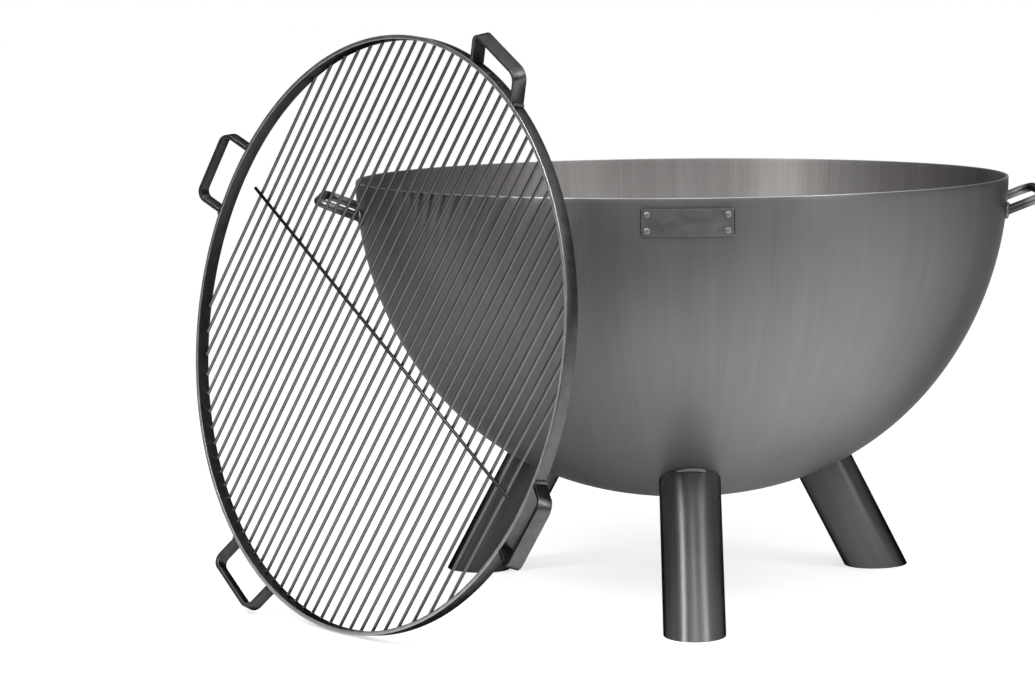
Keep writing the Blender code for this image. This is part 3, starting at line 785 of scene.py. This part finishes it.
def build_bowl_handles():
    """Two bent round bars, each welded to the wall with a bead round either root."""
    root = wall_radius(HANDLE_DROP)
    level = RIM_HEIGHT - HANDLE_DROP
    half = HANDLE_WIDTH / 2
    reach = HANDLE_REACH * math.cos(HANDLE_RISE)
    corners = [(root + out, side, level + out * math.tan(HANDLE_RISE)) for out, side in
               ((0, half), (reach, half), (reach, -half), (0, -half))]
    path = rounded_path(corners, HANDLE_BEND)
    flat = Vector((-math.sin(HANDLE_RISE), 0, math.cos(HANDLE_RISE)))
    inward = Vector((-math.cos(HANDLE_RISE), 0, -math.sin(HANDLE_RISE)))
    section = [(point.x, point.y) for point in circle(HANDLE_BAR, HANDLE_SIDES)]
    lines = []
    for count, name in enumerate(HANDLE_NAMES):
        turn = Matrix.Rotation(LEFT_HANDLE_TURN + count * math.pi, 4, "Z")
        bar = swept("bowl_handle_bar_" + name, path, section, flat, meet_bowl)
        # Painted shade that fades from the wall out along each arm
        mark_points(bar, "scaled", lambda spot: HANDLE_PAINTED_SHADE * max(
            1 - (spot.x - root) / (reach - HANDLE_BEND), 0.0))
        dress("bowl_handle_bar_" + name, bar, BOWL_AXIS @ turn, "bright_round_bar", "pit",
              "bowl_handle_" + name)
        for side in (half, -half):
            ring = []
            for point in circle(HANDLE_BAR + HANDLE_WELD_AROUND, HANDLE_WELD_STEPS):
                around = Vector((root, side + point.y, level)) + flat * point.x
                ring.append(turn @ (meet_bowl(around, inward) - inward * HANDLE_WELD_OUT))
            lines.append(ring)
    weld_beads("bowl_handle_beads", lines, HANDLE_WELD, 11, True, BOWL_AXIS, "pit")


# Name plate and rivets

def plate_mesh():
    """One side of a plate with round corners, bent to the wall, bare."""
    middle = wall_frame(PLATE_TURN, PLATE_DROP)
    inward = -(middle.to_3x3() @ Vector((0, 0, 1)))
    inner = PLATE_WIDTH / 2 - PLATE_CORNER
    tallest = PLATE_HEIGHT / 2
    end = [(inner + x, tallest - PLATE_CORNER + y) for x, y in cap(PLATE_CORNER, PLATE_CORNER, CORNER_STEPS)]
    columns = [(-x, tall) for x, tall in end[::-1]]
    columns += [(inner * (step / PLATE_STEPS - 1), tallest) for step in range(1, 2 * PLATE_STEPS)] + end
    bm = bmesh.new()
    own = bm.verts.layers.float_vector.new("place")
    grid = []
    for x, tall in columns:
        line = []
        for step in range(PLATE_STEPS + 1):
            place = Vector((x, tall * (2 * step / PLATE_STEPS - 1), 0))
            vert = bm.verts.new(meet_bowl(middle @ place, inward))
            vert[own] = place
            line.append(vert)
        grid.append(line)
    for left, right in zip(grid, grid[1:]):
        for i in range(PLATE_STEPS):
            bm.faces.new((left[i], right[i], right[i + 1], left[i + 1]))
    mesh = bpy.data.meshes.new("plate")
    bm.to_mesh(mesh)
    bm.free()
    return mesh


def build_plate():
    """The bare name plate, with its thickness and broken edges."""
    finishing = (("SOLIDIFY", {"thickness": PLATE_THICK, "offset": 1}),
                 ("BEVEL", {"width": PLATE_EDGE, "segments": 2, "angle_limit": SHARP}))
    mesh = plain_mesh(put("plate", plate_mesh()), finishing)
    dress("bare_name_plate", mesh, BOWL_AXIS, "plate_steel", "pit", "name_plate")


def repeat_tree(sizes):
    """Copies of a shape at the start mesh's points, each turned as its point is and a little uneven."""
    tree, size = shape_tree("repeated", sizes)
    turn = add(tree, "GeometryNodeInputNamedAttribute", {"data_type": "QUATERNION"}, {"Name": "turn"})
    shape = add(tree, "GeometryNodeObjectInfo", {"transform_space": "ORIGINAL"}, {"Object": size["Shape"]})
    uneven = add(tree, "FunctionNodeRandomValue", {"data_type": "FLOAT"},
                 {2: size["Smallest"], 3: 1.0, "Seed": size["Seed"]})
    spots = add(tree, "GeometryNodeMeshToPoints", {}, {"Mesh": size["Geometry"]})
    copies = add(tree, "GeometryNodeInstanceOnPoints", {}, {
        "Points": spots, "Instance": shape.outputs["Geometry"], "Rotation": turn.outputs["Attribute"],
        "Scale": uneven.outputs[1]})
    close_tree(tree, copies, size["Finish"])
    return tree


def repeated(name, shape, frames, smallest, matrix, slot, body, *nodes):
    """One piece of many copies of a shape, one in each frame."""
    start = bpy.data.meshes.new(name)
    start.from_pydata([spot.translation for spot in frames], [], [])
    turns = start.attributes.new("turn", "QUATERNION", "POINT")
    for value, spot in zip(turns.data, frames):
        value.value = spot.to_quaternion()
    model = put(name + "_shape", shape)
    sizes = {"Shape": model, "Smallest": smallest, "Seed": 5, "Finish": STEEL[slot]}
    mesh = shape_from(repeat_tree(sizes), sizes, start)
    bpy.data.objects.remove(model)
    dress(name, mesh, matrix, slot, body, *nodes)


def build_rivets():
    """Four domed rivets through the plate and the wall, each with its formed tail."""
    seat = PLATE_THICK + 2 * GAP
    tail = -SHEET - GAP
    end = tail - RIVET_TAIL_THICK
    profile = cap(RIVET_HEAD, RIVET_DOME, RIVET_ROWS, seat)
    profile += [(RIVET_SHANK, seat - RIVET_STEP), (RIVET_SHANK, tail), (RIVET_TAIL, tail - RIVET_STEP),
                (RIVET_TAIL, tail - RIVET_FLAT * RIVET_TAIL_THICK), (RIVET_FLAT * RIVET_TAIL, end), (0, end)]
    frames = []
    for across in (-0.5, 0.5):
        for up in (-0.5, 0.5):
            drop = PLATE_DROP - up * RIVET_UP
            turn = PLATE_TURN + 2 * math.asin(across * RIVET_ACROSS / 2 / wall_radius(drop))
            frames.append(wall_frame(turn, drop))
    rivet = dome("rivet", profile, RIVET_SIDES)
    repeated("plate_rivets", rivet, frames, 1.0, BOWL_AXIS, "rivet_steel", "pit",
             *[f"plate_rivet_{count + 1}" for count in range(len(frames))])


# Grate

def grate_frame():
    """The grate's own frame: the ring stands on the floor and its bars' side rests on the rim."""
    height = GRATE_RADIUS * math.cos(GRATE_LEAN) + RING_WIDTH / 2 * math.sin(GRATE_LEAN)
    rim = RIM_RADIUS * math.cos(GRATE_LEAN) + RIM_HEIGHT * math.sin(GRATE_LEAN)
    out = (rim + RING_WIDTH / 2 + GAP - height * math.sin(GRATE_LEAN)) / math.cos(GRATE_LEAN)
    away = Vector((-math.sin(GRATE_TURN), -math.cos(GRATE_TURN), 0))
    along = Vector((math.cos(GRATE_TURN), -math.sin(GRATE_TURN), 0))
    centre = away * out + along * GRATE_SHIFT + Vector((0, 0, height))
    upright = Matrix.Rotation(math.pi / 2 - GRATE_LEAN, 4, "X")
    return BOWL_AXIS @ Matrix.Translation(centre) @ Matrix.Rotation(-GRATE_TURN, 4, "Z") @ upright


def bar_tree(sizes):
    """Parallel round bars whose ends follow the inside of the ring."""
    tree, size = shape_tree("grill_bars", sizes)
    before = add(tree, MATH, "MULTIPLY", [size["Outermost bar"], -1.0])
    first = add(tree, "ShaderNodeCombineXYZ", {}, {"Y": before})
    last = add(tree, "ShaderNodeCombineXYZ", {}, {"Y": size["Outermost bar"]})
    spots = add(tree, "GeometryNodeMeshLine", {"mode": "END_POINTS"},
                {"Count": size["Bars"], "Start Location": first, "Offset": last})
    rod = add(tree, "GeometryNodeMeshCylinder", {"fill_type": "NGON"},
              {"Vertices": size["Sides"], "Radius": size["Bar radius"], "Depth": 2.0})
    rods = add(tree, "GeometryNodeInstanceOnPoints", {}, {
        "Points": spots, "Instance": rod.outputs["Mesh"], "Rotation": (0, math.pi / 2, 0)})
    real = add(tree, "GeometryNodeRealizeInstances", {}, {"Geometry": rods})
    spot = add(tree, "ShaderNodeSeparateXYZ", {}, [add(tree, "GeometryNodeInputPosition")]).outputs
    inside = add(tree, MATH, "MULTIPLY", [size["Ring inside"], size["Ring inside"]])
    across = add(tree, MATH, "MULTIPLY", [spot["Y"], spot["Y"]])
    half = add(tree, MATH, "SQRT", [add(tree, MATH, "SUBTRACT", [inside, across])])
    coped = add(tree, "ShaderNodeCombineXYZ", {}, [add(tree, MATH, "MULTIPLY", [spot["X"], half]),
                                                   spot["Y"], spot["Z"]])
    laid = add(tree, "GeometryNodeSetPosition", {}, {"Geometry": real, "Position": coped})
    close_tree(tree, laid, size["Finish"])
    return tree


def build_bars(grate):
    """All the round bars inside the ring, with the small welds at their ends."""
    sizes = {"Bars": BAR_COUNT, "Outermost bar": LAST_BAR, "Bar radius": BAR_RADIUS, "Sides": BAR_SIDES,
             "Ring inside": GRATE_RADIUS - RING_THICK - GAP, "Finish": STEEL["bright_round_bar"]}
    mesh = shape_from(bar_tree(sizes), sizes)
    bars = grate @ Matrix.Rotation(BAR_TURN, 4, "Z") @ Matrix.Translation((0, 0, BAR_LEVEL))
    dress("grill_bars", mesh, bars, "bright_round_bar", "grate",
          *[f"grate_bar_{count:02d}" for count in range(1, BAR_COUNT + 1)])
    build_tacks(bars)


def build_tacks(bars):
    """A small weld on each bar's end, in the corner with the ring."""
    frames = []
    inside = GRATE_RADIUS - RING_THICK
    for count in range(BAR_COUNT):
        across = LAST_BAR * (2 * count / (BAR_COUNT - 1) - 1)
        reach = math.sqrt(inside ** 2 - across ** 2)
        for side in (-1, 1):
            spot = Matrix.Translation((side * reach, across, TACK_LEVEL))
            frames.append(spot @ Matrix.Rotation(math.atan2(across, side * reach), 4, "Z"))
    upper = cap(TACK_RADIUS, TACK_HEIGHT, TACK_ROWS)
    lower = [(radius, -height) for radius, height in upper[-2::-1]]
    tack = dome("tack", upper + lower, TACK_SIDES)
    repeated("bar_end_welds", tack, frames, SMALLEST_TACK, bars, "bright_round_bar", "grate")


def build_ring(grate):
    """The flat bar ring on edge. Its narrow faces are marked for rubbed wear and a painted highlight."""
    middle = GRATE_RADIUS - RING_THICK / 2
    profile = [(middle + x, y) for x, y in round_box(RING_THICK, RING_WIDTH, BAR_EDGE)]
    mesh = turned("grate_ring_bar", profile, RING_SIDES)
    # The narrow faces are marked for wear and a painted highlight
    mark_points(mesh, "rubbed", lambda spot: float(abs(spot.z) > RING_WIDTH / 2 - RING_WEAR_AND_HIGHLIGHT))
    dress("grate_ring_bar", mesh, grate, "hot_rolled_bar", "grate", "grate_ring")


def build_crossbar(grate):
    """The bar welded across the others, with broken edges at its ends."""
    reach = LAST_BAR + BAR_RADIUS + CROSSBAR_OVERHANG
    level = BAR_LEVEL + BAR_RADIUS + GAP + CROSSBAR_RADIUS
    end = [(0, reach), (CROSSBAR_RADIUS - CROSSBAR_EDGE, reach), (CROSSBAR_RADIUS, reach - CROSSBAR_EDGE)]
    mesh = dome("crossbar", end + [(radius, -height) for radius, height in end[::-1]], BAR_SIDES)
    mesh.transform(Matrix.Rotation(math.pi / 2, 4, "Y"))
    # The whole crossbar is marked for painted shade
    mark_points(mesh, "scaled", lambda spot: 1.0)
    turn = Matrix.Rotation(BAR_TURN + math.pi / 2, 4, "Z") @ Matrix.Translation((0, 0, level))
    dress("crossbar_rod", mesh, grate @ turn, "bright_round_bar", "grate", "grate_crossbar")


def build_grips(grate):
    """Four flat bar handles on the ring, with two beads each."""
    centre = RING_THICK / 2
    half = GRIP_WIDTH / 2 - centre
    reach = GRIP_REACH - centre
    corners = [(0, half, 0), (reach, half, 0), (reach, -half, 0), (0, -half, 0)]
    path = rounded_path(corners, GRIP_BEND - centre)
    section = round_box(RING_THICK, RING_WIDTH, BAR_EDGE)
    chord = math.sqrt(GRATE_RADIUS ** 2 - (GRIP_WIDTH / 2) ** 2)
    tilted = Matrix.Translation((chord, 0, 0)) @ Matrix.Rotation(-GRIP_TILT, 4, "Y")
    lines = []
    for count, turn in enumerate(GRIP_TURNS):
        grip = Matrix.Rotation(turn, 4, "Z") @ tilted

        def meet_ring(point, direction):
            """Where a line of the grip meets the ring's outer face."""
            return meet(point, direction, GRIP_CUT,
                        lambda spot: math.hypot(*(grip @ spot).xy) > GRATE_RADIUS + GAP)

        name = f"grate_grip_{count + 1}"
        bar = swept(name, path, section, Vector((0, 0, 1)), meet_ring)
        dress(name, bar, grate @ grip, "hot_rolled_bar", "grate", f"grate_handle_{count + 1}")
        for side in (1, -1):
            line = []
            for step in range(2 * GRIP_WELD_STEPS + 1):
                level = (RING_WIDTH / 2 - GRIP_WELD_END) * (step / GRIP_WELD_STEPS - 1)
                spot = Vector((0, side * (GRIP_WIDTH / 2 + GRIP_WELD_SIDE), level))
                line.append(grip @ (meet_ring(spot, Vector((-1, 0, 0))) + Vector((GRIP_WELD_OUT, 0, 0))))
            lines.append(line)
    weld_beads("grate_grip_beads", lines, GRIP_WELD, 7, False, grate, "grate")


# Studio: strengths and colours are shares of white, and places are in metres

AMBIENT = 0.45
DIM_ROOM = 0.08
BACKDROP_EDGE = 0.75
BACKDROP_FULL = 0.98
CEILING_EDGE = 0.3
CEILING_FULL = 0.7
FLOOR_WIDE = 40
FLOOR_WHITE = 0.85
FLOOR_DARK = 0.05
FLOOR_GLOW = 0.62
FLOOR_AHEAD = (-0.35, -1.0, 0.0)
FLOOR_NEAR = 0.5
FLOOR_FAR = 1.35
SHADE_MIDDLE = (-0.26, -0.03, 0.0)
SHADE_CORE = 0.1
SHADE_REACH = 0.62
FLOOR_SHADE = 0.52
BOUNCE_MIDDLE = (0.55, -0.15, 0.0)
BOUNCE_REACH = 0.75
FLOOR_BOUNCE = 0.5


def seen_as_backdrop(tree, rays):
    """One for the rays that see the backdrop: from the camera, and in gloss and glass."""
    seen = add(tree, MATH, "MAXIMUM", [rays["Is Camera Ray"], rays["Is Glossy Ray"]])
    return add(tree, MATH, "MAXIMUM", [seen, rays["Is Transmission Ray"]])


def build_floor():
    """A wide white floor that keeps the soft shadows.

    In gloss it is dark under the bowl's left side, bright at the bowl's right and dim in front.
    """
    mesh = bpy.data.meshes.new("studio_floor")
    corners = [(x * FLOOR_WIDE, y * FLOOR_WIDE, 0) for x, y in ((-1, -1), (1, -1), (1, 1), (-1, 1))]
    mesh.from_pydata(corners, [], [(0, 1, 2, 3)])
    material = bpy.data.materials.new("white_studio_floor")
    mesh.materials.append(material)
    material.use_nodes = True
    tree = material.node_tree
    tree.nodes.remove(tree.nodes["Principled BSDF"])
    rays = add(tree, "ShaderNodeLightPath").outputs
    place = add(tree, "ShaderNodeTexCoord").outputs["Object"]
    under = add(tree, VECTOR_MATH, "DISTANCE", [place, SHADE_MIDDLE]).outputs["Value"]
    shadow = add(tree, MAP_RANGE, SMOOTH, [under, SHADE_CORE, SHADE_REACH, -FLOOR_SHADE, 0.0])
    beside = add(tree, VECTOR_MATH, "DISTANCE", [place, BOUNCE_MIDDLE]).outputs["Value"]
    bounce = add(tree, MAP_RANGE, SMOOTH, [beside, 0.0, BOUNCE_REACH, FLOOR_BOUNCE, 0.0])
    change = add(tree, MATH, "ADD", [bounce, shadow])
    bright = add(tree, MATH, "MULTIPLY_ADD", [change, rays["Is Glossy Ray"], FLOOR_GLOW])
    strength = add(tree, MATH, "MULTIPLY", [seen_as_backdrop(tree, rays), bright])
    glow = add(tree, "ShaderNodeEmission", {}, {"Strength": strength})
    white = add(tree, "ShaderNodeBsdfDiffuse", {}, {"Color": (FLOOR_WHITE, FLOOR_WHITE, FLOOR_WHITE, 1)})
    dark = add(tree, "ShaderNodeBsdfDiffuse", {}, {"Color": (FLOOR_DARK, FLOOR_DARK, FLOOR_DARK, 1)})
    lit = add(tree, "ShaderNodeAddShader", {}, [white, glow])
    ahead = add(tree, VECTOR_MATH, "DOT_PRODUCT", [place, FLOOR_AHEAD]).outputs["Value"]
    front = add(tree, MAP_RANGE, SMOOTH, [ahead, FLOOR_NEAR, FLOOR_FAR, 0.0, 1 - DIM_ROOM])
    dim = add(tree, MATH, "MULTIPLY", [front, rays["Is Glossy Ray"]])
    feed(tree.nodes["Material Output"], {"Surface": add(tree, "ShaderNodeMixShader", {}, [dim, lit, dark])})
    put("studio_floor", mesh)


def build_world():
    """A white backdrop. In gloss it is white behind the object and over it, and dim elsewhere."""
    world = bpy.data.worlds.new("white_studio")
    world.use_nodes = True
    tree = world.node_tree
    rays = add(tree, "ShaderNodeLightPath").outputs
    direction = add(tree, "ShaderNodeTexCoord").outputs["Generated"]
    way = add(tree, "ShaderNodeSeparateXYZ", {}, [direction]).outputs
    away = add(tree, MAP_RANGE, SMOOTH, [way["Y"], BACKDROP_EDGE, BACKDROP_FULL, 1 - DIM_ROOM, 0.0])
    lower = add(tree, MAP_RANGE, SMOOTH, [way["Z"], CEILING_EDGE, CEILING_FULL, 1.0, 0.0])
    dark = add(tree, MATH, "MULTIPLY", [away, lower])
    lost = add(tree, MATH, "MULTIPLY", [dark, rays["Is Glossy Ray"]])
    seen = add(tree, MATH, "MULTIPLY_ADD", [seen_as_backdrop(tree, rays), 1 - AMBIENT, AMBIENT])
    strength = add(tree, MATH, "SUBTRACT", [seen, lost])
    feed(tree.nodes["Background"], {"Color": (1, 1, 1, 1), "Strength": strength})
    bpy.context.scene.world = world


def add_softbox(name, place, aim, width, height, power):
    """A soft lamp at a place that shines at a spot, both from the foot of the bowl's axis, in metres."""
    lamp = bpy.data.lights.new(name, "AREA")
    lamp.shape = "RECTANGLE"
    lamp.size, lamp.size_y, lamp.energy = width, height, power
    box = put(name, lamp)
    box.location = BOWL_AXIS @ Vector(place)
    box.rotation_euler = (Vector(aim) - Vector(place)).to_track_quat("-Z", "Y").to_euler()


def build_camera():
    """The camera that was fitted to the photograph."""
    pan, pitch, roll = CAMERA_PAN, CAMERA_PITCH, CAMERA_ROLL
    ahead = Vector((math.sin(pan) * math.cos(pitch), math.cos(pan) * math.cos(pitch), -math.sin(pitch)))
    right = Vector((math.cos(pan), -math.sin(pan), 0))
    up = right.cross(ahead)
    side = right * math.cos(roll) + up * math.sin(roll)
    top = up * math.cos(roll) - right * math.sin(roll)
    camera = bpy.data.cameras.new("photo_camera")
    camera.sensor_width = SENSOR
    camera.lens = FOCAL_PIXELS * SENSOR / PHOTO_WIDTH
    holder = put("photo_camera", camera)
    holder.matrix_world = Matrix((side, top, -ahead)).transposed().to_4x4()
    holder.location = BOWL_AXIS @ Vector(CAMERA_PLACE)
    bpy.context.scene.camera = holder


build_bowl()
build_legs()
build_bowl_handles()
build_plate()
build_rivets()
GRATE = grate_frame()
build_ring(GRATE)
build_bars(GRATE)
build_crossbar(GRATE)
build_grips(GRATE)

build_floor()
build_world()
add_softbox("strip_left", (-1.1, -1.05, 1.45), (0, -0.33, 0.2), 0.2, 0.7, 16)
add_softbox("softbox_right", (1.8, -1.55, 1.8), (0, -0.3, 0.25), 0.7, 1.5, 19)
add_softbox("card_left", (-2.75, -0.2, 0.55), (-0.12, -0.5, 0.35), 0.3, 0.3, 1.2)
add_softbox("softbox_top", (0.15, -1.9, 2.9), (0, -0.3, 0.15), 0.7, 0.7, 7)
add_softbox("softbox_front", (0.6, -4.0, 1.9), (0, 0, 0.25), 4.0, 1.6, 31)
build_camera()
bpy.context.scene.view_settings.view_transform = "Standard"
